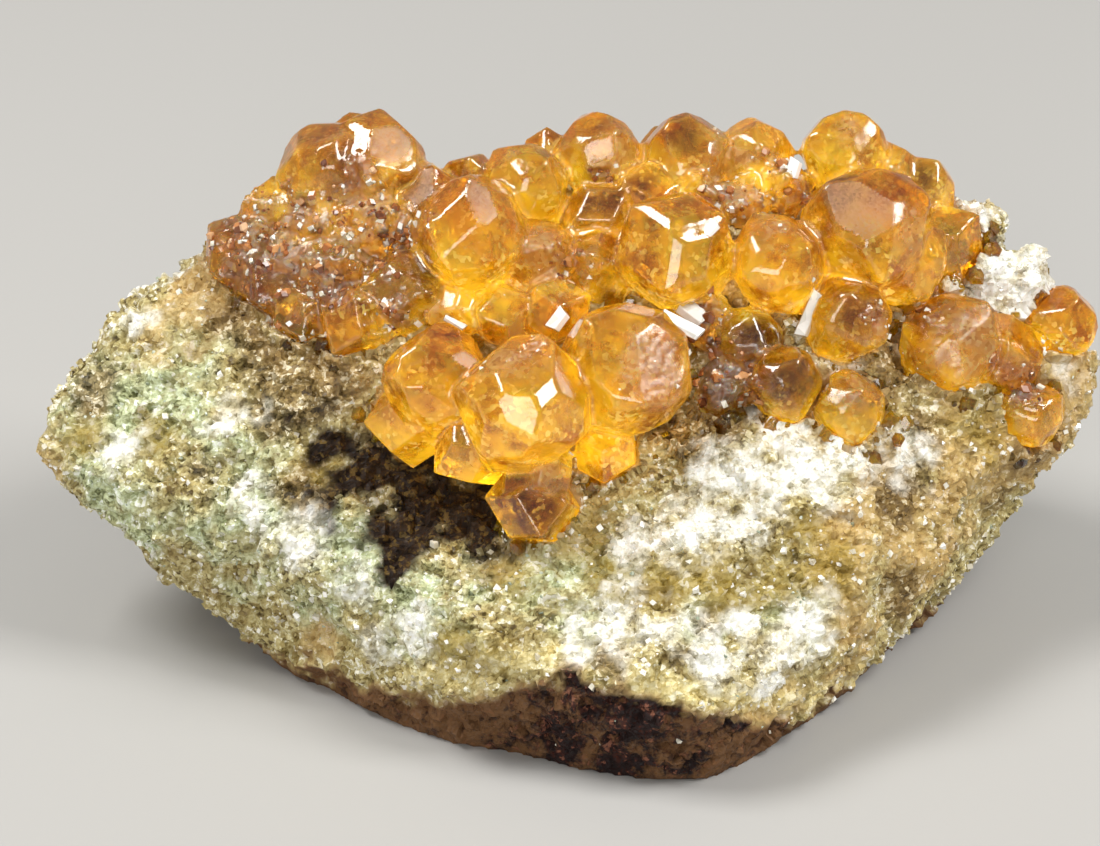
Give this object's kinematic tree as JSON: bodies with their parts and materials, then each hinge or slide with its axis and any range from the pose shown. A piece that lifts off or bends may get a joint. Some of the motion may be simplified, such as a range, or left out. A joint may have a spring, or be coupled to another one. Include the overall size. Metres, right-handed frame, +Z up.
{
  "type": "hessonite garnet cluster on matrix",
  "caption": "Mineral specimen: honey-amber hessonite garnet crystals grown over the crest and front slope of a pale granular rock with a flat-cut base.",
  "frame": {"origin": "under the middle of the whole specimen, on the plane that its base stands on", "axes": "+X to the viewer's right along the longest side, +Y to the back, +Z up; the pictured face looks along -Y"},
  "size_m": [0.065, 0.0388, 0.0304],
  "materials": {
    "matrix": "rough, sugary broken surface",
    "garnet": "glassy flat faces, honey-amber, clouded inside"
  },
  "bodies": {
    "root": {"matrix_rock": "matrix", "garnet_druse": "garnet", "garnet_front_group": "garnet", "garnet_right_ledge": "garnet", "garnet_right_edge": "garnet", "garnet_lower_ledge": "garnet", "garnet_far_right": "garnet"}
  },
  "joints": []
}
